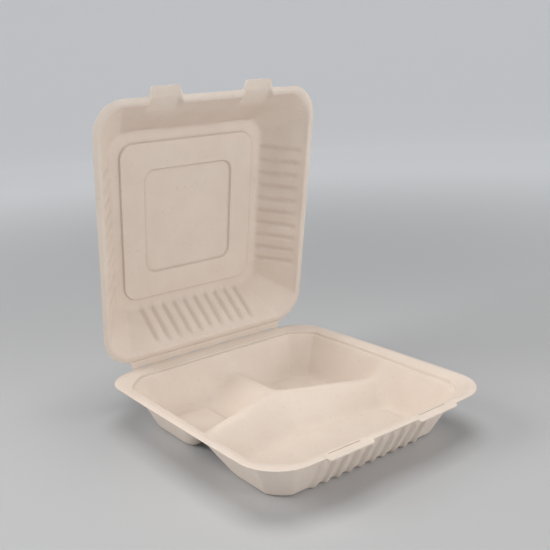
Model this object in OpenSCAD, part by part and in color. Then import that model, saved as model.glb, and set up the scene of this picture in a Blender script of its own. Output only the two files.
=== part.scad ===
// Hinged three-compartment meal box pressed from bagasse pulp, shown with its lid standing open.
// Millimetres. X runs along the fold, the front edge faces -Y, Z is up and the tray stands on Z = 0,
// with the origin under the middle of the open box.

/* [Tray] */
// Outside width of the tray's rim, left to right
tray_w = 230; // [180:1:260]
// Outside length of the tray's rim, front to back
tray_d = 230; // [180:1:260]
// Height of the top of the rim above the table
tray_h = 41; // [32:0.5:60]
// Thickness of the pressed pulp sheet
sheet = 1; // [0.7:0.05:1.5]
// Corner radius of the rim at the two front corners
front_r = 33; // [20:1:45]
// Corner radius of the rim at the two corners by the fold
back_r = 27; // [18:1:40]
// How far the front edge of the rim bows out between its corners
front_bow = 2; // [0:0.1:4]
// How far the side edges of the rim bow out between their corners
side_bow = 1.1; // [0:0.1:4]
// Width of the flat lip round the tray
flange_w = 4.6; // [3:0.1:8]
// Height of the shallow slope just inside the lip
slope_h = 5.4; // [3:0.2:8]
// Width taken up by the slope and the crease under it
slope_w = 8.9; // [6:0.1:12]
// Distance the wall leans in between the shelf and the floor
wall_lean = 16.5; // [8:0.5:24]
// Corner radius of the wall where it meets the floor
foot_r = 20; // [8:1:28]

/* [Dividers] */
// Height of the dividers above the floor
divider_h = 20; // [10:0.5:34]
// Width of the rounded top of the dividers
divider_top = 7; // [3:0.5:14]
// Sideways place of the point where the three dividers meet
meet_x = 6; // [-30:1:30]
// Front to back place of the point where the three dividers meet
meet_y = 29; // [-10:1:50]
// Front to back place of the left divider's top at the left wall
left_y = -1; // [-40:1:40]
// Front to back place of the right divider's top at the right wall
right_y = -10; // [-40:1:40]
// Spread of the left and right dividers' feet into the two back compartments
back_spread = 20; // [8:1:34]
// Spread of the back divider's feet to either side
side_spread = 31; // [10:1:40]
// Spread of the left divider's foot into the front compartment at the side wall
left_spread = 24; // [8:1:34]
// Spread of the right divider's foot into the front compartment at the side wall
right_spread = 19; // [8:1:34]
// Spread of the dividers' feet into the front compartment at the meeting point
meet_spread = 37; // [15:1:45]
// Corner radius of the compartments next to the dividers
pocket_r = 11; // [5:1:18]
// Corner radius of the front compartment where the dividers meet
meet_r = 34; // [15:1:40]

/* [Lid] */
// Outside width of the lid's rim, left to right
lid_w = 219; // [170:1:250]
// Outside length of the lid's rim, fold side to tab side
lid_d = 219; // [170:1:250]
// Depth of the lid from its rim to the inside of its panel
lid_h = 37; // [25:0.5:55]
// Corner radius of the lid's rim at the tab side
lid_front_r = 28.5; // [18:1:40]
// Corner radius of the lid's rim at the fold side
lid_back_r = 27; // [18:1:40]
// Distance the lid's wall leans in between its rim and its panel
lid_lean = 22; // [12:0.5:30]
// Height of the rounded bead on the lid's rim, towards the tray
bead_h = 1; // [0:0.1:2]
// Half width of the raised frame pressed into the lid's panel
frame_half = 68.4; // [55:0.2:74]
// Half width of the sunk square inside the frame
square_half = 45.7; // [25:0.2:52]
// Height of the steps pressed into the lid's panel
panel_step = 1.4; // [0.5:0.1:3]
// Opening angle of the lid from closed, as it stands at rest
open_angle = 82.5; // [0:0.5:180]

/* [Ribs] */
// Number of ribs pressed into each ribbed wall
rib_count = 10; // [6:1:12]
// Spacing of the ribs
rib_pitch = 11.8; // [9:0.1:12.4]
// Depth of the ribs
rib_depth = 1.6; // [0.4:0.1:2.2]

/* [Fold and fastening] */
// Distance from the fold line to the tray's rim
fold_gap_tray = 1.5; // [1:0.1:6]
// Distance from the fold line to the lid's rim
fold_gap_lid = 7; // [3:0.5:12]
// Half length of the strip that joins lid and tray
strip_half = 83.3; // [50:0.5:88]
// Number of slits cut along the fold
slit_count = 6; // [2:1:8]
// Length of each slit along the fold
slit_len = 15.1; // [6:0.1:18]
// Spacing of the slits along the fold
slit_pitch = 27.9; // [20:0.1:30]
// Width of the slits along the fold
slit_w = 1.2; // [0.6:0.1:2]
// Room kept between the two halves along the fold and between the closed rims
fold_room = 0.34; // [0.3:0.02:0.6]
// Sideways distance of each tab and ledge from the middle
tab_x = 45; // [30:1:60]
// Width of each tab at its tip
tab_w = 24; // [14:1:30]
// How far each tab stands out beyond the lid's rim
tab_len = 7.4; // [4:0.2:12]
// Length of each ledge in the tray's front flange
ledge_len = 42; // [30:1:52]
// How far each ledge lies below the flange
ledge_drop = 1.2; // [0.4:0.1:3]
// How far each ledge stands out beyond the tray's front edge
ledge_out = 2.4; // [0:0.1:5]
// Length of the slot cut through each ledge
slot_len = 30; // [16:1:36]

/* [Hidden] */
half_w = tray_w / 2;
half_d = tray_d / 2;
fold_y = half_d + fold_gap_tray;
lid_wall_s = 10;
lid_foot_s = lid_wall_s + lid_lean;
back_y = fold_y + (lid_h + sheet) * sin(open_angle) - (fold_gap_lid + lid_foot_s + 1) * cos(open_angle);
centre_y = (back_y - half_d - ledge_out) / 2;
fold_z = tray_h + fold_room / 2;
floor_z = -(tray_h - sheet);
shelf_z = -slope_h;
wall_s = flange_w + slope_w;
foot_s = wall_s + wall_lean;
lean = wall_lean / (shelf_z - floor_z);
crest_z = floor_z + divider_h;
crest_s = wall_s + lean * (shelf_z - crest_z);
skin = sheet * sqrt(1 + lean * lean);
rib_x = [for (i = [0 : rib_count - 1]) for (d = [-3, -1.4, 1.4, 3]) (i - (rib_count - 1) / 2) * rib_pitch + d];
rib_on = [for (i = [0 : rib_count - 1]) for (d = [0, 1, 1, 0]) d];
plain_x = [for (i = [-3 : 3]) i * 19];
plain_on = [for (i = [-3 : 3]) 0];
tab_edge = [for (d = [-1, 1]) for (e = d < 0 ? [7, 4.2, 0] : [0, 4.2, 7]) d * (tab_w / 2 + e)];
front_flat = lid_w / 2 - lid_front_r - 8;
between = tab_x / 2 - 0.5;
tab_pts = concat(
    [-front_flat], [for (d = tab_edge) d - tab_x], [-between, 0, between], [for (d = tab_edge) d + tab_x], [front_flat]);
tab_on = [0, 0, 0.5, 1, 1, 0.5, 0, 0, 0, 0, 0, 0.5, 1, 1, 0.5, 0, 0];

// Closed solid through a list of level rings, lowest first, each running counter-clockwise seen from above.
module loft(rings) {
    n = len(rings[0]);
    m = len(rings);
    side = [for (k = [0 : m - 2]) for (i = [0 : n - 1]) for (f = [0, 1])
        let (j = (i + 1) % n)
        f == 0 ? [k * n + i, (k + 1) * n + i, (k + 1) * n + j] : [k * n + i, (k + 1) * n + j, k * n + j]];
    ends = [[for (i = [0 : n - 1]) i], [for (i = [0 : n - 1]) m * n - 1 - i]];
    polyhedron([for (r = rings) for (p = r) p], concat(side, ends), convexity = 10);
}

// Closed sheet between two matching lists of rings that run from the rim to the middle.
module sheet_between(under, over) {
    n = len(under[0]);
    m = len(under);
    u = m * n;
    skins = [for (k = [0 : m - 2]) for (i = [0 : n - 1]) for (f = [0 : 3])
        let (j = (i + 1) % n, a = k * n + i, b = k * n + j, c = (k + 1) * n + i, d = (k + 1) * n + j)
        f == 0 ? [a, d, c] : f == 1 ? [a, b, d] : f == 2 ? [u + a, u + c, u + d] : [u + a, u + d, u + b]];
    edge = [for (i = [0 : n - 1]) for (f = [0, 1])
        let (j = (i + 1) % n)
        f == 0 ? [i, u + i, u + j] : [i, u + j, j]];
    ends = [[for (i = [0 : n - 1]) (m - 1) * n + i], [for (i = [0 : n - 1]) u + m * n - 1 - i]];
    polyhedron([for (r = concat(under, over)) for (p = r) p], concat(skins, edge, ends), convexity = 10);
}

// Corner arc about a centre, from one angle to ninety degrees further on.
function arc(cx, cy, r, a0, n) = [for (i = [0 : n]) [cx + r * cos(a0 + 90 * i / n), cy + r * sin(a0 + 90 * i / n)]];

// Bows a point of the plan outwards between the corners.
function bowed(p) = [
    p[0] * (1 - side_bow / half_w * pow(p[1] / half_d, 2)),
    p[1] * (1 - front_bow / half_d * pow(p[0] / half_w, 2))];

// Level ring of the tray, inset s from the edge of the rim, with ribs of depth amp on the front wall.
function tray_ring(s, z, amp) =
    let (a = half_w - s, b = half_d - s,
        k = min(1, max(0, (s - flange_w) / (foot_s - flange_w))),
        rf = s < 0 ? front_r - s : front_r - min(s, flange_w) * 0.7 - k * (front_r - flange_w * 0.7 - foot_r),
        rb = s < 0 ? back_r - s : back_r - min(s, flange_w) * 0.5 - k * (back_r - flange_w * 0.5 - foot_r + 3))
    [for (p = concat(
        [for (i = [0 : len(rib_x) - 1]) [rib_x[i], -b - amp * rib_on[i]]],
        arc(a - rf, -b + rf, rf, -90, 8),
        [for (t = [-2 : 2]) [a, t * 22]],
        arc(a - rb, b - rb, rb, 0, 8),
        [for (t = [-2 : 2]) [-t * 22, b]],
        arc(-a + rb, b - rb, rb, 90, 8),
        [for (t = [-2 : 2]) [-a, -t * 22]],
        arc(-a + rf, -b + rf, rf, 180, 8)))
    let (q = bowed(p)) [q[0], q[1], z]];

// Crossing of two lines given by a point and a direction.
function cross_at(p, u, q, v) =
    let (w = q - p, t = (w[0] * v[1] - w[1] * v[0]) / (u[0] * v[1] - u[1] * v[0])) p + t * u;

// Moves each side of a polygon outwards by its own distance.
function grown(poly, by) =
    let (n = len(poly))
    [for (i = [0 : n - 1])
        let (h = (i + n - 1) % n, u = poly[i] - poly[h], v = poly[(i + 1) % n] - poly[i],
            nu = [u[1], -u[0]] / norm(u), nv = [v[1], -v[0]] / norm(v))
        cross_at(poly[i] + nu * by[h], u, poly[i] + nv * by[i], v)];

// Rounds one corner of a polygon with n steps.
function corner(a, b, c, r, n) =
    let (u = (b - a) / norm(b - a), v = (c - b) / norm(c - b),
        nu = [u[1], -u[0]], nv = [v[1], -v[0]],
        m = cross_at(b - nu * r, u, b - nv * r, v),
        a0 = atan2(nu[1], nu[0]), turn = acos(min(1, u * v)))
    [for (i = [0 : n]) m + r * [cos(a0 + turn * i / n), sin(a0 + turn * i / n)]];

// Level ring of a compartment from its corners and their radii; ribs of depth amp when it has the front wall.
function pocket_ring(poly, radii, z, amp) =
    let (n = len(poly),
        arcs = [for (i = [0 : n - 1]) corner(poly[(i + n - 1) % n], poly[i], poly[(i + 1) % n], radii[i], 6)])
    [for (i = [0 : n - 1]) for (q = concat(arcs[i],
        (amp >= 0 && i == 0)
            ? [for (t = [0 : len(rib_x) - 1]) [rib_x[t], poly[0][1] - amp * rib_on[t]]]
            : [for (t = [1 : 3]) let (e = arcs[i][6], g = arcs[(i + 1) % n][0]) e + (g - e) * t / 4]))
        let (w = bowed(q)) [w[0], w[1], z]];

// Corners of the three compartments at a height given by k, 0 at the floor and 1 at the dividers' tops.
function mix(a, b, k) = a + (b - a) * k;
function wall_at(k) = mix(half_w - foot_s, half_w - crest_s - 0.04, k);
function deep_at(k) = mix(half_d - foot_s, half_d - crest_s - 0.04, k);
half_top = divider_top / 2;
left_dir = [meet_x, meet_y] - [-half_w + crest_s, left_y];
right_dir = [half_w - crest_s, right_y] - [meet_x, meet_y];
left_n = [-left_dir[1], left_dir[0]] / norm(left_dir);
right_n = [-right_dir[1], right_dir[0]] / norm(right_dir);
function back_left(k) =
    let (o = mix(back_spread, half_top, k), w = wall_at(k), x = meet_x - mix(side_spread, half_top, k),
        p = [meet_x, meet_y] + left_n * o)
    [cross_at(p, left_dir, [-w, 0], [0, 1]), cross_at(p, left_dir, [x, 0], [0, 1]), [x, deep_at(k)], [-w, deep_at(k)]];
function back_right(k) =
    let (o = mix(back_spread, half_top, k), w = wall_at(k), x = meet_x + mix(side_spread, half_top, k),
        p = [meet_x, meet_y] + right_n * o)
    [cross_at(p, right_dir, [x, 0], [0, 1]), cross_at(p, right_dir, [w, 0], [0, 1]), [w, deep_at(k)], [x, deep_at(k)]];
function front_room(k) =
    let (w = wall_at(k))
    [[-w, -deep_at(k)], [w, -deep_at(k)],
        [w, mix(right_y - right_spread, right_y - half_top, k)],
        [meet_x, mix(meet_y - meet_spread, meet_y - half_top, k)],
        [-w, mix(left_y - left_spread, left_y - half_top, k)]];
function radius_at(k) =
    let (j = (mix(foot_s, crest_s, k) - flange_w) / (foot_s - flange_w))
    [front_r - flange_w * 0.7 - j * (front_r - flange_w * 0.7 - foot_r),
        back_r - flange_w * 0.5 - j * (back_r - flange_w * 0.5 - foot_r + 3)];

// One compartment, from the floor up to just above the dividers' tops; out is 1 for its outside skin.
module pocket(kind, out) {
    k1 = 1 + 0.4 / divider_h;
    levels = [[0, 3.2], [0.045, 1.2], [0.14, 0], [1, 0], [k1, 0]];
    wall = skin * out;
    steep = sheet * 1.5 * out;
    easy = sheet * 1.9 * out;
    loft([for (l = levels)
        let (k = l[0], z = mix(floor_z, crest_z, k) - (k == 0 ? sheet * out : 0), r = radius_at(k), e = l[1],
            amp = rib_depth * min(1, 0.4 + k * 5))
        kind == "front"
            ? pocket_ring(grown(front_room(k), [wall - e, wall - e, easy - e, easy - e, wall - e]),
                [r[0] + wall, r[0] + wall, pocket_r, meet_r, pocket_r], z, amp)
            : kind == "left"
                ? pocket_ring(grown(back_left(k), [steep - e, steep - e, wall - e, wall - e]),
                    [pocket_r, pocket_r, pocket_r, r[1] + wall], z, -1)
                : pocket_ring(grown(back_right(k), [steep - e, wall - e, wall - e, steep - e]),
                    [pocket_r, pocket_r, r[1] + wall, pocket_r], z, -1)]);
}

// The room above the dividers' tops, up through the opening of the rim; out is 1 for its outside skin.
module upper_room(out) {
    w = skin * out;
    d = sheet * out;
    amp = rib_depth;
    loft(concat(
        [tray_ring(crest_s - w, crest_z - d, amp),
            tray_ring(wall_s - w + lean * 6, shelf_z - 6, amp),
            tray_ring(wall_s - w + lean * 3, shelf_z - 3, 0),
            tray_ring(wall_s - w, shelf_z, 0),
            tray_ring(wall_s - 1.6 - d * 0.54, shelf_z + 0.7 - d * 0.84, 0)],
        out == 1 ? [tray_ring(flange_w - d, -sheet / 2, 0)] : [tray_ring(flange_w, 0, 0), tray_ring(flange_w, 1, 0)]));
}

// Cross-section of a ledge, seen from the front.
module ledge_shape(x) {
    polygon([for (p = [[-1, 0, 0], [-1, 2.4, 1], [1, 2.4, 1], [1, 0, 0], [1, 0, 2], [1, 2, 3], [-1, 2, 3], [-1, 0, 2]])
        [x + p[0] * (ledge_len / 2 - p[1]), -(p[2] % 2) * ledge_drop - (p[2] > 1 ? sheet : 0)]]);
}

// Both front ledges, with their outer corners rounded in plan.
module ledges() {
    for (x = [-tab_x, tab_x]) {
        intersection() {
            translate([0, -half_d + flange_w + 1.9, 0])
                rotate([90, 0, 0])
                    linear_extrude(height = flange_w + 1.9 + ledge_out)
                        ledge_shape(x);
            translate([0, 0, -4])
                linear_extrude(height = 6)
                    hull() {
                        for (d = [-1, 1]) {
                            translate([x + d * (ledge_len / 2 - 3), -half_d - ledge_out + 3])
                                circle(r = 3, $fn = 24);
                        }
                        translate([x - ledge_len / 2, -half_d + flange_w])
                            square([ledge_len, 4]);
                    }
        }
    }
}

// Upright slot along X with round ends.
module slot(length, width) {
    hull() {
        for (d = [-1, 1]) {
            translate([d * (length - width) / 2, 0, 0])
                cylinder(h = 6, d = width, center = true, $fn = 16);
        }
    }
}

// Slits along the fold and the round notches at its ends, where the fold line is the X axis.
module fold_slits() {
    for (i = [0 : slit_count - 1]) {
        translate([(i - (slit_count - 1) / 2) * slit_pitch, 0, 0])
            slot(slit_len, slit_w);
    }
    for (d = [-1, 1]) {
        translate([d * (strip_half + 1), 0, 0])
            slot(5, 2 * fold_gap_tray);
    }
}

module tray() {
    color([0.86, 0.81, 0.75])
        translate([0, -centre_y, tray_h])
            difference() {
                union() {
                    difference() {
                        union() {
                            loft([tray_ring(0.2, -sheet, 0), tray_ring(0, -0.5 * sheet, 0), tray_ring(0.2, 0, 0)]);
                            upper_room(1);
                            pocket("front", 1);
                            pocket("left", 1);
                            pocket("right", 1);
                        }
                        upper_room(0);
                        pocket("front", 0);
                        pocket("left", 0);
                        pocket("right", 0);
                        for (x = [-tab_x, tab_x]) {
                            translate([x - ledge_len / 2 + 0.2, -half_d - 4, -2])
                                cube([ledge_len - 0.4, flange_w + 5.4, 4]);
                        }
                    }
                    ledges();
                    translate([-strip_half, half_d - 4, -sheet])
                        cube([2 * strip_half, 4 + fold_gap_tray - fold_room / 2, sheet]);
                }
                for (x = [-tab_x, tab_x]) {
                    translate([x, -half_d + flange_w - 0.1, -2])
                        slot(slot_len, 1);
                }
                translate([0, fold_y, 0])
                    fold_slits();
            }
}

// Profile of the lid from its edge inwards: inset, depth, rib depth, then inset and depth inside a tab channel.
profile = [
    [0, 0.5, 0, -tab_len, 0],
    [1.6, 0, 0, -tab_len + 2.5, 0],
    [4.2, -bead_h * 0.6, 0, -2, 0.1],
    [6.1, 0, 0, 1, 0.4],
    [7.4, 1.9, 0, 7, 4.2],
    [lid_wall_s + lid_lean * 0.06, 6.8, 0.15, 11.6, 8],
    [lid_wall_s + lid_lean * 0.24, lid_h * 0.32, 1, 15.2, lid_h * 0.325],
    [lid_wall_s + lid_lean * 0.9, lid_h - 3.4, 1, lid_wall_s + lid_lean * 0.9, lid_h - 3.4],
    [lid_foot_s + 0.6, lid_h - 0.9, 0.2, lid_foot_s + 0.6, lid_h - 0.9],
    [lid_foot_s + 3.4, lid_h, 0, lid_foot_s + 3.4, lid_h],
    [lid_w / 2 - frame_half - 0.8, lid_h, 0, lid_w / 2 - frame_half - 0.8, lid_h],
    [lid_w / 2 - frame_half + 0.8, lid_h - panel_step, 0, lid_w / 2 - frame_half + 0.8, lid_h - panel_step],
    [lid_w / 2 - square_half - 0.8, lid_h - panel_step, 0, lid_w / 2 - square_half - 0.8, lid_h - panel_step],
    [lid_w / 2 - square_half + 0.8, lid_h, 0, lid_w / 2 - square_half + 0.8, lid_h]];

// Sheet normal at vertex k of the profile, for the plain wall (c = 0) or inside a tab channel (c = 3).
function off_at(k, c) =
    let (m = len(profile) - 1, i = c == 0 ? 0 : 3, j = c == 0 ? 1 : 4,
        a = profile[max(0, k - 1)], b = profile[k], d = profile[min(m, k + 1)],
        u = [b[i] - a[i], b[j] - a[j]], v = [d[i] - b[i], d[j] - b[j]],
        p = k == 0 ? v / norm(v) : u / norm(u), q = k == m ? u / norm(u) : v / norm(v),
        n = [-p[1] - q[1], p[0] + q[0]])
    n / (1 + p * q);

// Level ring k of the lid, its under face (out = 0) or its upper face (out = 1), lid closed and fold at Y = 0.
function lid_ring(k, out) =
    let (g = profile[k], o = off_at(k, 0) * sheet * out, t = off_at(k, 3) * sheet * out,
        s = g[0] + o[0], w = g[1] + o[1], ts = g[3] + t[0], tw = g[4] + t[1],
        a = lid_w / 2 - s, y0 = -fold_gap_lid - lid_d + s, y1 = -fold_gap_lid - s, yc = (y0 + y1) / 2,
        j = min(1, max(0, s / lid_foot_s)), inner = k > 9,
        rf = inner ? 13 - (k > 11 ? 3 : 0) : lid_front_r - j * (lid_front_r - 16),
        rb = inner ? 13 - (k > 11 ? 3 : 0) : lid_back_r - j * (lid_back_r - 16),
        f = inner ? min(1, (a - rf - 1) / 60) : 1, amp = rib_depth * g[2])
    concat(
        [for (i = [0 : len(tab_pts) - 1]) [tab_pts[i] * min(f, (a - rf - 0.5) / front_flat),
            tab_on[i] == 1 ? -fold_gap_lid - lid_d + ts : y0,
            tab_on[i] == 1 ? tw : tab_on[i] > 0 ? max(g[1], 0) + o[1] : w]],
        [for (p = arc(a - rf, y0 + rf, rf, -90, 7)) [p[0], p[1], w]],
        [for (i = [0 : len(rib_x) - 1]) [a + amp * rib_on[i], yc + rib_x[i] * f, w]],
        [for (p = arc(a - rb, y1 - rb, rb, 0, 7)) [p[0], p[1], w]],
        [for (i = [0 : len(rib_x) - 1]) [-rib_x[i] * f, y1 + amp * rib_on[i], w]],
        [for (p = arc(-a + rb, y1 - rb, rb, 90, 7)) [p[0], p[1], w]],
        [for (i = [0 : len(rib_x) - 1]) [-a - amp * rib_on[i], yc - rib_x[i] * f, w]],
        [for (p = arc(-a + rf, y0 + rf, rf, 180, 7)) [p[0], p[1], w]]);

module lid() {
    color([0.87, 0.82, 0.76])
        translate([0, fold_y - centre_y, fold_z])
            rotate([-open_angle, 0, 0])
                difference() {
                    union() {
                        translate([0, 0, fold_room / 2])
                            sheet_between([for (k = [0 : len(profile) - 1]) lid_ring(k, 0)],
                                [for (k = [0 : len(profile) - 1]) lid_ring(k, 1)]);
                        translate([-strip_half, -fold_gap_lid - 2, fold_room / 2])
                            cube([2 * strip_half, fold_gap_lid + 2 - fold_room / 2, sheet]);
                    }
                    fold_slits();
                }
}

tray();
lid();
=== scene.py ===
# Hinged three-compartment meal box pressed from bagasse pulp, standing open.
# Lengths are worked out in millimetres and turned into metres as each sheet is shaped.
import math
import bpy
import numpy as np
from mathutils import Matrix


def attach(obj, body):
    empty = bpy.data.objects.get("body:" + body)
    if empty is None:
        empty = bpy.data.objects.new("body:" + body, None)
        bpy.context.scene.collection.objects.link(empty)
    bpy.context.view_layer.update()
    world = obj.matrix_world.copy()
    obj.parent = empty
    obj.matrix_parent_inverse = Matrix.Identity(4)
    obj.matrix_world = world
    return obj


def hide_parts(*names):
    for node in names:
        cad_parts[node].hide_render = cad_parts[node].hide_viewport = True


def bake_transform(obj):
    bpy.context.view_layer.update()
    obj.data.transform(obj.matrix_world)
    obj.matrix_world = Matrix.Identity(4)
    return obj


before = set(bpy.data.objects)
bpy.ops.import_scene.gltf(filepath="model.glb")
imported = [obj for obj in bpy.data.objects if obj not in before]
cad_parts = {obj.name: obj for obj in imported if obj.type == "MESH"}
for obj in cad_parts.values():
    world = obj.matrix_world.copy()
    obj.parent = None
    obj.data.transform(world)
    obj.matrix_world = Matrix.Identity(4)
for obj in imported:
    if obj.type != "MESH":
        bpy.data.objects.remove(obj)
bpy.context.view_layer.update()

# Camera.
# The photograph's own viewpoint: in front and to the left of the box, looking a little down, close enough
# for a strong perspective. Its frame was cropped off centre, which the shift stands for.
CENTRE_Y = 15.777
FRAME, FOCAL, AXIS_X, AXIS_Y = 550, 740.17, 220.26, 385.62  # pixels: side, focal length, where the axis meets it
SENSOR = 36
yaw, pitch, roll = (math.radians(a) for a in (34.38, 23.04, -3.33))
ahead = np.array([math.sin(yaw) * math.cos(pitch), math.cos(yaw) * math.cos(pitch), -math.sin(pitch)])
level = np.array([math.cos(yaw), -math.sin(yaw), 0.0])
above = np.cross(level, ahead)
right = math.cos(roll) * level + math.sin(roll) * above
up = -math.sin(roll) * level + math.cos(roll) * above
eye = np.array([-365.7, -431.85 - CENTRE_Y, 280.99]) / 1000
bpy.ops.object.camera_add()
camera = bpy.context.object
camera.name = "camera"
camera.matrix_world = Matrix([[right[i], up[i], -ahead[i], eye[i]] for i in range(3)] + [[0, 0, 0, 1]])
camera.data.sensor_width = SENSOR
camera.data.lens = FOCAL / FRAME * SENSOR
camera.data.shift_x = 0.5 - AXIS_X / FRAME
camera.data.shift_y = AXIS_Y / FRAME - 0.5
camera.data.clip_start = 0.02
bpy.context.scene.camera = camera

# Floor and light.
# A plain pale table that curves up into a wall all round, under soft studio panels: a large one overhead, one
# behind on the left, a low one in front on the right, two weak fills, and a small strip that grazes the tray's
# outside from the left.
def linear(code):
    """An sRGB hex colour as linear red, green, blue and alpha."""
    channels = [int(code[i:i + 2], 16) / 255 for i in (1, 3, 5)]
    return [c / 12.92 if c <= 0.04045 else ((c + 0.055) / 1.055) ** 2.4 for c in channels] + [1]


def add_node(material, kind, settings=None, links=None):
    """One shader node with its settings; links name the node output that feeds each input."""
    node = material.node_tree.nodes.new(kind)
    for key, value in (settings or {}).items():
        if key in node.inputs:
            node.inputs[key].default_value = value
        else:
            setattr(node, key, value)
    for key, source in (links or {}).items():
        material.node_tree.links.new(source, node.inputs[key])
    return node


FLAT_REACH, CURVE_REACH, WALL_TOP, CURVE_STEPS = 2.2, 0.9, 1.6, 12  # metres, and steps in the curve
bpy.ops.mesh.primitive_circle_add(vertices=128, radius=FLAT_REACH, fill_type="NGON")
table = bpy.context.object
table.name = "table_top"
bpy.ops.object.mode_set(mode="EDIT")
bpy.ops.mesh.select_all(action="SELECT")
bpy.ops.mesh.region_to_loop()
reach, rise = FLAT_REACH, 0.0
for k in range(1, CURVE_STEPS + 1):
    turn = math.radians(90 / CURVE_STEPS * k)
    wider, higher = FLAT_REACH + CURVE_REACH * math.sin(turn), WALL_TOP * (1 - math.cos(turn))
    bpy.ops.mesh.extrude_region_move(TRANSFORM_OT_translate={"value": (0, 0, higher - rise)})
    bpy.ops.transform.resize(value=(wider / reach, wider / reach, 1), center_override=(0, 0, 0))
    reach, rise = wider, higher
bpy.ops.object.mode_set(mode="OBJECT")
bpy.ops.object.shade_smooth()
table_finish = bpy.data.materials.new("matt_laminate")
table_finish.use_nodes = True
coat = table_finish.node_tree.nodes["Principled BSDF"]
coat.inputs["Base Color"].default_value = linear("#BCBEC1")
coat.inputs["Roughness"].default_value = 0.5
# The wall far behind the box glows a little, as a lit studio wall does; the table around the box doesn't.
where = add_node(table_finish, "ShaderNodeTexCoord")
far = add_node(table_finish, "ShaderNodeVectorMath", {"operation": "LENGTH"}, {0: where.outputs["Object"]})
glow = add_node(table_finish, "ShaderNodeMapRange",
                {"From Min": 0.35, "From Max": 1.7, "To Min": 0, "To Max": 0.5, "interpolation_type": "SMOOTHSTEP"},
                {"Value": far.outputs["Value"]})
table_finish.node_tree.links.new(glow.outputs["Result"], coat.inputs["Emission Strength"])
coat.inputs["Emission Color"].default_value = linear("#D9DBDE")
table.data.materials.append(table_finish)

BOX_MIDDLE, OPEN_PANEL = (0, 0.03, 0.07), 180
for name, place, aim, size, spread, power in (
        ("overhead", (0, 0, 1.3), BOX_MIDDLE, 0.8, OPEN_PANEL, 9.3),
        ("behind_left", (-0.95, 0.42, 0.75), BOX_MIDDLE, 0.6, OPEN_PANEL, 7.0),
        ("low_right", (0.4, -1.1, 0.42), BOX_MIDDLE, 0.6, OPEN_PANEL, 5.6),
        ("fill_left", (-0.8, -0.6, 0.9), BOX_MIDDLE, 0.7, OPEN_PANEL, 1.1),
        ("fill_right", (1.1, -0.3, 0.45), BOX_MIDDLE, 0.6, OPEN_PANEL, 1.1),
        ("strip_left", (-0.75, -0.22, 0.06), (-0.1, -0.09, 0.0), 0.2, 45, 0.05)):
    bpy.ops.object.light_add(type="AREA", location=place)
    lamp = bpy.context.object
    lamp.name = name
    lamp.data.size = size
    lamp.data.spread = math.radians(spread)
    lamp.data.energy = power
    lamp.data.color = linear("#FFFCF8")[:3]
    toward = Matrix.Translation(place).inverted() @ Matrix.Translation(aim)
    lamp.rotation_euler = toward.translation.to_track_quat("-Z", "Y").to_euler()

world = bpy.data.worlds.new("studio")
bpy.context.scene.world = world
world.use_nodes = True
air = world.node_tree.nodes["Background"]
air.inputs["Color"].default_value = linear("#DADCDF")
air.inputs["Strength"].default_value = 0.04
bpy.context.scene.view_settings.view_transform = "Standard"

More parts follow.
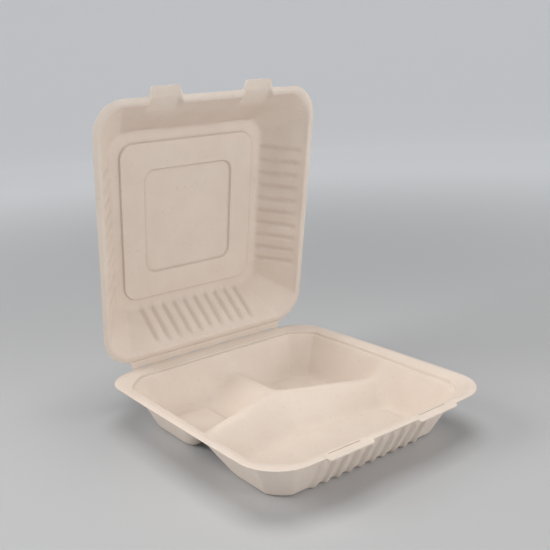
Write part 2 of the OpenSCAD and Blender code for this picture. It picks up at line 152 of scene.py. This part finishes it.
# Pulp.
# Bagasse fibre pressed wet between two moulds and dried hot: matt, cream with a pink cast, with flecks of
# darker fibre and the faint weave of the wire screen it was drawn on.
def pulp(name):
    """The sheet's finish: uneven cream stock with fibres, flecks, painted shade in its creases and the screen's
    weave.
    """
    finish = bpy.data.materials.new(name)
    finish.use_nodes = True
    shader = finish.node_tree.nodes["Principled BSDF"]
    place = add_node(finish, "ShaderNodeTexCoord")
    at = {"Vector": place.outputs["Object"]}
    # Uneven stock: soft clouds about 25 mm across.
    cloud = add_node(finish, "ShaderNodeTexNoise", {"Scale": 40, "Detail": 3}, at)
    body = add_node(finish, "ShaderNodeMix", {"data_type": "RGBA"}, {"Factor": cloud.outputs["Fac"]})
    body.inputs[6].default_value = linear("#D9CBBF")
    body.inputs[7].default_value = linear("#E4D9CF")
    # Single fibres, 0.8 mm apart, drawn a little coarser than the real ones so that they show.
    fibre = add_node(finish, "ShaderNodeTexNoise", {"Scale": 1300, "Detail": 2, "Roughness": 0.6}, at)
    pale = add_node(finish, "ShaderNodeMix", {"data_type": "RGBA", "blend_type": "OVERLAY"})
    pale.inputs[0].default_value = 0.10
    finish.node_tree.links.new(body.outputs[2], pale.inputs[6])
    finish.node_tree.links.new(fibre.outputs["Fac"], pale.inputs[7])
    # Flecks of rind: sparse brown specks about a millimetre wide.
    cell = add_node(finish, "ShaderNodeTexVoronoi", {"Scale": 420}, at)
    rare = add_node(finish, "ShaderNodeMath", {"operation": "GREATER_THAN"}, {0: cell.outputs["Color"]})
    rare.inputs[1].default_value = 0.83
    near = add_node(finish, "ShaderNodeMapRange",
                    {"From Min": 0.16, "From Max": 0.30, "To Min": 0.30, "To Max": 0},
                    {"Value": cell.outputs["Distance"]})
    fleck = add_node(finish, "ShaderNodeMath", {"operation": "MULTIPLY"},
                     {0: rare.outputs[0], 1: near.outputs["Result"]})
    tone = add_node(finish, "ShaderNodeMix", {"data_type": "RGBA"}, {"Factor": fleck.outputs[0]})
    finish.node_tree.links.new(pale.outputs[2], tone.inputs[6])
    tone.inputs[7].default_value = linear("#A8907A")
    # Painted shade: in tight concave creases, up to 3.5 mm across, the colour is darkened where the surface is
    # hemmed in, standing in for the shade that gathers there.
    crease = add_node(finish, "ShaderNodeAmbientOcclusion",
                      {"samples": 8, "only_local": True, "Distance": 0.0035})
    painted_crease_shade = add_node(finish, "ShaderNodeMapRange",
                     {"From Min": 0.55, "From Max": 0.93, "To Min": 0.6, "To Max": 0},
                     {"Value": crease.outputs["AO"]})
    # Painted shade: multiplies the colour towards a darker brown where the creases are most occluded.
    crease_shaded_colour = add_node(finish, "ShaderNodeMix", {"data_type": "RGBA", "blend_type": "MULTIPLY"},
                     {"Factor": painted_crease_shade.outputs["Result"]})
    finish.node_tree.links.new(tone.outputs[2], crease_shaded_colour.inputs[6])
    crease_shaded_colour.inputs[7].default_value = linear("#A89684")
    finish.node_tree.links.new(crease_shaded_colour.outputs[2], shader.inputs["Base Color"])
    # Screen weave, 1.8 mm pitch one way and 3 mm the other, with the fibres lying over it.
    weave_x = add_node(finish, "ShaderNodeTexWave",
                       {"bands_direction": "X", "Scale": 175, "Distortion": 1.5, "Detail Scale": 3}, at)
    weave_y = add_node(finish, "ShaderNodeTexWave",
                       {"bands_direction": "DIAGONAL", "Scale": 120, "Distortion": 1.5, "Detail Scale": 3}, at)
    weave = add_node(finish, "ShaderNodeMath", {"operation": "ADD"},
                     {0: weave_x.outputs["Fac"], 1: weave_y.outputs["Fac"]})
    lay = add_node(finish, "ShaderNodeMath", {"operation": "MULTIPLY"}, {0: weave.outputs[0]})
    lay.inputs[1].default_value = 0.12
    height = add_node(finish, "ShaderNodeMath", {"operation": "ADD"},
                      {0: lay.outputs[0], 1: fibre.outputs["Fac"]})
    relief = add_node(finish, "ShaderNodeBump", {"Strength": 0.42, "Distance": 0.0004},
                      {"Height": height.outputs[0]})
    finish.node_tree.links.new(relief.outputs["Normal"], shader.inputs["Normal"])
    shader.inputs["Roughness"].default_value = 0.86
    shader.inputs["Specular IOR Level"].default_value = 0.3
    return finish


pressed_pulp = pulp("pressed_bagasse_pulp")

# Tray.
# The lower half: one pressed sheet with a flat lip, a slope that ends in a small step, leaning walls and a Y of
# dividers that are hollow underneath. It is shaped from a flat blank whose rings follow the rim.
RIM_Z, FLOOR_Z, SHEET = 41.0, 1.0, 1.0
HALF = 115.0  # half the tray's width at the rim
FOLD_Y, FOLD_Z, ROOM = 116.5, 41.17, 0.17  # the fold line, and the sheet's distance from it
RIB_AT = (np.arange(10) - 4.5) * 11.8
TABS_AT = (-45, 45)


def ease(x):
    """Rises smoothly from 0 to 1 as x does."""
    x = np.clip(x, 0, 1)
    return x * x * (3 - 2 * x)


def soft_max(a, b, k):
    """The higher of a and b, blended where they are less than k apart."""
    h = np.maximum(k - np.abs(a - b), 0)
    return np.maximum(a, b) + h * h / (4 * k)


def soft_min(a, b, k):
    return -soft_max(-a, -b, k)


def ribs(x):
    """1 on the crown of a rib, 0 between ribs."""
    return sum(ease((3.3 - np.abs(x - r)) / 2.7) for r in RIB_AT)


def bumps(x, half, edge):
    """1 within half of either tab's middle, easing to 0 over the width of edge."""
    return sum(ease((half + edge - np.abs(x - m)) / edge) for m in TABS_AT)


def blank(name, insets):
    """A flat square sheet with one ring of faces for each inset. Returns it with each point's ring and side."""
    n = len(insets) - 1
    bpy.ops.object.select_all(action="DESELECT")
    bpy.ops.mesh.primitive_grid_add(x_subdivisions=2 * n, y_subdivisions=2 * n, size=2)
    sheet = bpy.context.object
    sheet.name = name
    flat = np.empty(len(sheet.data.vertices) * 3)
    sheet.data.vertices.foreach_get("co", flat)
    i, j = np.rint(flat.reshape(-1, 3)[:, :2].T * n)
    m = np.maximum(abs(i), abs(j))
    side = np.where(j == -m, 0, np.where(i == m, 1, np.where(j == m, 2, 3)))
    along = np.choose(side, [i, j, -i, -j]) / np.maximum(m, 1)
    return sheet, np.array(insets)[(n - m).astype(int)], side, along


def around(s, side, along, half, front, back, flat):
    """Places each point on the rounded square that lies s inside the rim; front and back are corner sizes, and
    flat turns a corner from round (0) to straight across (1)."""
    a = half - s
    first = np.maximum(np.choose(side, [front, front, back, back]), 1e-6)
    last = np.maximum(np.choose(side, [front, back, back, front]), 1e-6)
    q = math.pi / 4
    straight = 2 * a - first - last
    d = (along + 1) / 2 * (q * (first + last) + straight)
    before, after = d < q * first, d > q * first + straight
    turn = np.where(before, -3 * q + d / first, -2 * q + (d - q * first - straight) / last)
    r = np.where(before, first, last)
    u = (turn + 2 * q) / (2 * q) + before
    mid = np.where(before, -a + first, a - last)
    c = (1 - flat) * (mid + r * np.cos(turn)) + flat * (mid + r * (u - before))
    e = (1 - flat) * (-a + r + r * np.sin(turn)) + flat * (-a + r * np.where(before, 1 - u, u))
    c = np.where(before | after, c, -a + first + d - q * first)
    e = np.where(before | after, e, -a)
    return np.choose(side, [c, -e, -c, e]), np.choose(side, [e, c, -e, -c])


def shape(sheet, x, y, z):
    """Moves the sheet's points to x, y and z in millimetres, y measured from the tray's middle."""
    sheet.data.vertices.foreach_set("co", np.column_stack([x, y - CENTRE_Y, z]).ravel() / 1000)
    sheet.data.update()


# The fold strip along the back, and the six slits that make it fold.
STRIP_HALF, SLIT_HALF, SLIT_END, SLIT_EDGE = 83.3, 7.5, 7.55, 0.42
SLITS = [(i - 2.5) * 27.95 for i in range(6)]


def add_strip(sheet, rim, rows):
    """Extrudes the rim's edge to the fold in rows of half width, Y and Z. The last two rows meet the slits' ends."""
    bpy.ops.object.mode_set(mode="EDIT")
    bpy.ops.mesh.select_mode(type="EDGE")
    bpy.ops.mesh.select_all(action="DESELECT")
    bpy.ops.object.mode_set(mode="OBJECT")
    mesh = sheet.data
    co = np.array([v.co for v in mesh.vertices]) * 1000
    chosen = (np.abs(co[:, 0]) <= rows[0][0] + 0.6) & rim
    reach = np.abs(co[chosen, 0]).max()
    for edge in mesh.edges:
        edge.select = bool(chosen[edge.vertices[0]] and chosen[edge.vertices[1]])
    for row in rows:
        bpy.ops.object.mode_set(mode="EDIT")
        bpy.ops.mesh.extrude_region_move()
        bpy.ops.object.mode_set(mode="OBJECT")
        for v in mesh.vertices:
            if v.select:
                x = v.co.x * 1000 * row[0] / reach
                if row in rows[-2:]:
                    near = min((m + d for m in SLITS for d in (-SLIT_END, SLIT_END)), key=lambda e: abs(e - x))
                    x = near if abs(near - x) < 0.56 else x
                v.co = (x / 1000, (row[1] - CENTRE_Y) / 1000, row[2] / 1000)
        reach = row[0]


# Rings, corner sizes and heights all go by s, the distance in from the rim's edge.
SLOT_NEAR, SLOT_FAR, SLOT_HALF = 5.4, 6, 15
LEDGE_HALF, LEDGE_OUT, LEDGE_HEIGHT = 20.2, 2.4, 38.8
WALL_TOP_S, WALL_FOOT_S = 14, 30
tray_insets = [0, 0.3, 0.9, 2.2, 3.2, 4, 4.8, SLOT_NEAR, SLOT_FAR, 6.8, 7.8, 9, 10, 10.7, 11.1, 11.4, 11.7, 12,
               12.4, 12.9, 13.5, 14.3, 15.3, 16.5, 17.8, 19.1, 20.4, 21.7, 22.9, 24.1, 25.3, 26.4, 27.4, 28.3,
               29.1, 29.9, 30.8, 31.8, 33] + list(np.linspace(34.3, HALF, 60))
tray, s, side, along = blank("tray_sheet", tray_insets)
corner_s = [0, 4.6, 13.5, WALL_FOOT_S, HALF]
front_r = np.interp(s, corner_s, [33, 30, 20, 12.5, 0])
back_r = np.interp(s, corner_s, [27, 25, 18.5, 11.5, 0])
flat = np.interp(s, [0, 4.6, 12, 60, HALF], [0, 0.1, 0.68, 0.68, 0])
x, y = around(s, side, along, HALF, front_r, back_r, flat)
ledge = bumps(x, LEDGE_HALF, 2.2) * (side == 0)
y = y - ledge * LEDGE_OUT * np.clip(1 - s / 4, 0, 1)
# The sides bow out: they stand 1.1 and 2 mm further in at the corners than at their middles.
x, y = x * (1 - 1.1 / HALF * (y / HALF) ** 2), y * (1 - 2.0 / HALF * (x / HALF) ** 2)

# The walls, from the rim down; a rib moves the front wall out, and the slope under the lip is shallower behind.
crowns = sum(ease((2.7 - np.abs(x - r)) / 2.3) for r in RIB_AT) * (side == 0)
wall_s = s + 2.5 * crowns * ease((s - WALL_TOP_S) / 2)
wall = np.interp(wall_s, [0, 0.6, 4.4, 5.2, 10.7, 11.1, 11.7, 12.1, 13.3, 14.5, WALL_FOOT_S, HALF],
                 [39.7, 40, 40, 39.7, 37.2, 36.9, 34.7, 34.3, 34.0, 32.6, 0, -177])
shallow = 0.5 * np.clip((y + 60) / 160, 0, 1)
wall += shallow * np.interp(s, [4.6, 10.7, 12.3, 13.5, WALL_FOOT_S], [0, 2.6, 5.0, 5.1, 0])
ledge_top = np.where(s < 1, np.minimum(wall, LEDGE_HEIGHT), LEDGE_HEIGHT)
wall += ledge * ease((8.2 - s) / 1.6) * (ledge_top - wall)

# The dividers: each compartment has its own leaning faces, cut off at the height of the crest.
TOP, CREST = 3.5, 20.0  # half the crest's width, and its height
FOOT = 20  # from the middle of a divider to its foot in the back compartments
MEET = np.array([6.0, 29.0])
left_run, right_run = MEET - [-94.5, -1], np.array([94.5, -10]) - MEET
left_off, right_off = (((x - MEET[0]) * -run[1] + (y - MEET[1]) * run[0]) / np.hypot(*run)
                       for run in (left_run, right_run))


def face(foot_a, foot_b, off):
    """Height of a leaning face that rises from the foot line to the crest line, where off is -TOP."""
    (ax, ay), (bx, by) = foot_a, foot_b
    beyond = ((y - ay) * (bx - ax) - (x - ax) * (by - ay)) / math.hypot(bx - ax, by - ay)
    return CREST * beyond / (beyond - off - TOP)


front_foot = [(-85, -25), (5, -9), (85, -28)]
front_face = soft_max(face(*front_foot[:2], left_off), face(*front_foot[1:], right_off), 5)
left_face = soft_max(CREST * (FOOT - left_off) / (FOOT - TOP), CREST * (x + 25) / 26, 6)
right_face = soft_max(CREST * (FOOT - right_off) / (FOOT - TOP), CREST * (37 - x) / 27.5, 6)
divider = soft_min(soft_min(soft_min(front_face, left_face, 4), right_face, 4), CREST, 2.5)

# Each floor has a panel raised by 1.2 mm, about 10 mm in from the dividers' feet and 6 mm from the walls'.
WALL_FALL, DIVIDER_FALL = 2.11, 0.65
inside = np.minimum(-wall / WALL_FALL + 4, -divider / DIVIDER_FALL)
floor = 1.2 * ease((inside - 8.6) / 2.6)
height = soft_max(soft_max(wall, divider, 18), floor, 4.5)
height = np.where(s < WALL_TOP_S, wall, height)
shape(tray, x, y, height + FLOOR_Z)

# The slots in the two ledges are left open, between two rings.
mesh = tray.data
for m in TABS_AT:
    for end in (m - SLOT_HALF, m + SLOT_HALF):
        for ring in (SLOT_NEAR, SLOT_FAR):
            row = np.where((s == ring) & (side == 0))[0]
            k = row[np.argmin(np.abs(x[row] - end))]
            x[k] = end
            mesh.vertices[k].co.x = end / 1000
bpy.ops.object.mode_set(mode="EDIT")
bpy.ops.mesh.select_mode(type="FACE")
bpy.ops.mesh.select_all(action="DESELECT")
bpy.ops.object.mode_set(mode="OBJECT")
for poly in mesh.polygons:
    v = list(poly.vertices)
    if side[v].max() == 0 and s[v].min() == SLOT_NEAR and s[v].max() == SLOT_FAR:
        poly.select = bool(min(abs(x[v].mean() - m) for m in TABS_AT) < SLOT_HALF)
bpy.ops.object.mode_set(mode="EDIT")
bpy.ops.mesh.delete(type="FACE")
bpy.ops.object.mode_set(mode="OBJECT")


def cut_slits(sheet, beyond):
    """Deletes the faces between the slit's edge and the fold, where the slits are."""
    bpy.ops.object.mode_set(mode="EDIT")
    bpy.ops.mesh.select_mode(type="FACE")
    bpy.ops.mesh.select_all(action="DESELECT")
    bpy.ops.object.mode_set(mode="OBJECT")
    for poly in sheet.data.polygons:
        c = poly.center * 1000
        poly.select = bool(beyond(c) and min(abs(c.x - m) for m in SLITS) < SLIT_HALF)
    bpy.ops.object.mode_set(mode="EDIT")
    bpy.ops.mesh.delete(type="FACE")
    bpy.ops.object.mode_set(mode="OBJECT")


SMOOTH = math.radians(50)


def thicken(sheet, finish, outward, node):
    """Gives the sheet its thickness, softens its cut edges and hangs it on its body."""
    for kind, settings in (("SOLIDIFY", {"thickness": SHEET / 1000, "offset": outward, "use_even_offset": True}),
                           ("BEVEL", {"width": 0.00028, "segments": 2, "limit_method": "ANGLE",
                                      "angle_limit": math.radians(62), "harden_normals": False})):
        change = sheet.modifiers.new(kind.lower(), kind)
        for key, value in settings.items():
            setattr(change, key, value)
        bpy.ops.object.modifier_apply(modifier=change.name)
    bpy.ops.object.shade_smooth_by_angle(angle=SMOOTH)
    sheet.data.materials.append(finish)
    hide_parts(node)
    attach(sheet, node)


# Its half of the fold strip, with half of each slit.
back_rim = (s == 0) & (side == 2)
add_strip(tray, back_rim, [(83.5, FOLD_Y - SLIT_EDGE, RIM_Z), (STRIP_HALF, FOLD_Y - ROOM, RIM_Z)])
cut_slits(tray, lambda c: c.y > FOLD_Y - CENTRE_Y - 0.6)
thicken(tray, pressed_pulp, -1, "tray")

# Lid.
# The upper half: a shallower sheet with a rounded bead on its rim, ribs on three walls, two tabs that each
# run back into the wall as a channel, and a stepped frame in its panel. Shaped closed, then turned open.
LID_HALF = 109.5
WALL_END = 29.8  # where the wall turns into the panel
lid_insets = [0, 0.4, 0.9, 1.6, 2.4, 3.3, 4.2, 5, 5.6, 6.1, 6.5, 6.9, 7.4, 8, 8.7, 9.5, 10.4, 11.3, 12.5, 13.8,
              15.3, 16.6, 17.9, 19.2, 20.5, 21.8, 23.1, 24.4, 25.7, 27, 28.4, WALL_END, 30.8, 31.8, 33, 34.6,
              36.2, 38, 39.4, 40.1, 40.5, 40.8, 41.2, 41.5, 41.9, 42.6, 43.6] + list(np.linspace(44.9, 62, 13)) + [
              63, 63.4, 63.7, 64.1, 64.4, 64.8, 65.4, 66.3] + list(np.linspace(67.6, LID_HALF, 31))
lid, s, side, along = blank("lid_sheet", lid_insets)
corner_s = [0, 6.5, 32, 40, 42, 62, 65, LID_HALF]
front_r = np.interp(s, corner_s, [26.5, 19.5, 11, 13, 12.5, 10.5, 9.5, 0])
back_r = np.interp(s, corner_s, [26.5, 19, 11, 13, 12.5, 10.5, 9.5, 0])
flat = np.interp(s, [0, 5, 7, 30, 38, LID_HALF], [0.04, 0.1, 0.45, 0.6, 0, 0])
x, y = around(s, side, along, LID_HALF, front_r, back_r, flat)

# Its depth under the rim: a raised lip, the bead, the wall with its ribs, the panel and its two steps.
ribbed = np.choose(side, [np.zeros_like(x), ribs(y), ribs(x), ribs(y)])
wall_s = s + np.where(side == 2, 2.8, 1.9) * ribbed * ease((s - 8) / 3.5) * ease((35.5 - s) / 2.5)
plain = [(0, 0.5), (0.5, 0.3), (1.6, 0), (3, -0.45), (4.2, -0.6), (5.4, -0.45), (6.1, 0), (6.8, 1), (7.4, 1.9),
         (8.3, 3.1), (11.3, 6.8), (15.3, 11.84), (WALL_END, 33.6), (31.4, 35.6), (33.4, 36.6), (36, 37),
         (40.5, 37), (41.5, 35.4), (63.4, 35.4), (64.4, 37.1), (120, 37.1)]
depth = np.interp(wall_s, *zip(*plain))

# The tabs reach past the front rim, and each runs back into the wall as a shallow channel.
tab = bumps(x, 11.8, 4.6) * (side == 0) * (s < 31)
channel_s = [0, 1.6, 4.2, 6.1, 7.4, 11.3, 15.3, WALL_END]
tip_s = np.interp(s, channel_s, [-7.4, -4.9, -2, 1, 7, 11.6, 15.2, WALL_END])
tip_w = np.interp(s, channel_s, [0, 0, 0.1, 0.4, 4.2, 8, 12, 33.6])
y = y * (1 - tab) + tab * -(LID_HALF - tip_s)
depth = depth * (1 - tab) + tab * np.where(s > WALL_END, depth, tip_w)
lid_y = y - FOLD_Y
THETA = math.radians(82.5)  # how far the lid stands open


def opened(sheet, x, y, w):
    """Turns points of the closed lid, given from the fold line, to where they stand with the lid open."""
    w = w + ROOM
    shape(sheet, x, FOLD_Y + y * math.cos(THETA) + w * math.sin(THETA),
          FOLD_Z - y * math.sin(THETA) + w * math.cos(THETA))


opened(lid, x, lid_y, depth)
neck = [(86.2, 6.6), (84.8, 5.6), (84, 4.4), (83.6, 3.2), (83.5, 1.8), (83.5, SLIT_EDGE), (STRIP_HALF, ROOM)]
back_rim = (s == 0) & (side == 2)
add_strip(lid, back_rim, [(half, FOLD_Y - v * math.cos(THETA) + ROOM * math.sin(THETA),
                           FOLD_Z + v * math.sin(THETA) + ROOM * math.cos(THETA)) for half, v in neck])
cut_slits(lid, lambda c: c.z < FOLD_Z + 0.6)
thicken(lid, pressed_pulp, 1, "lid")

# Crease.
# The seven lands left between the slits, where the same sheet of pulp bends from the tray up into the lid. It
# turns about the fold line, and follows the tray at one end and the lid at the other.
starts = [-STRIP_HALF] + [m + SLIT_END for m in SLITS]
ends = [m - SLIT_END for m in SLITS] + [STRIP_HALF]
LAST = 10  # rows of faces round the bend, of which the first and last lie flat on the strips
bends = []
for start, end in zip(starts, ends):
    bpy.ops.object.select_all(action="DESELECT")
    bpy.ops.mesh.primitive_grid_add(x_subdivisions=8, y_subdivisions=LAST, size=2)
    bend = bpy.context.object
    flat = np.array([v.co for v in bend.data.vertices])
    step = np.rint((flat[:, 1] + 1) / 2 * LAST)
    turn = -math.pi / 2 + np.clip((step - 1) / (LAST - 2), 0, 1) * THETA
    over = np.where(step == 0, -ROOM, np.where(step == LAST, ROOM, 0))
    r = ROOM + SHEET / 2
    y = r * np.cos(turn) - np.sin(turn) * over
    z = r * np.sin(turn) + np.cos(turn) * over
    shape(bend, start + (flat[:, 0] + 1) / 2 * (end - start), FOLD_Y + y, FOLD_Z + z)
    bends.append(bend)
bpy.ops.object.select_all(action="DESELECT")
for bend in bends:
    bend.select_set(True)
crease = bends[0]
bpy.context.view_layer.objects.active = crease
bpy.ops.object.join()
crease.name = "crease_lands"
change = crease.modifiers.new("solidify", "SOLIDIFY")
change.thickness, change.offset = SHEET / 1000, 0
bpy.ops.object.modifier_apply(modifier="solidify")
bpy.ops.object.shade_smooth_by_angle(angle=SMOOTH)
crease.data.materials.append(pressed_pulp)
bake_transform(crease)
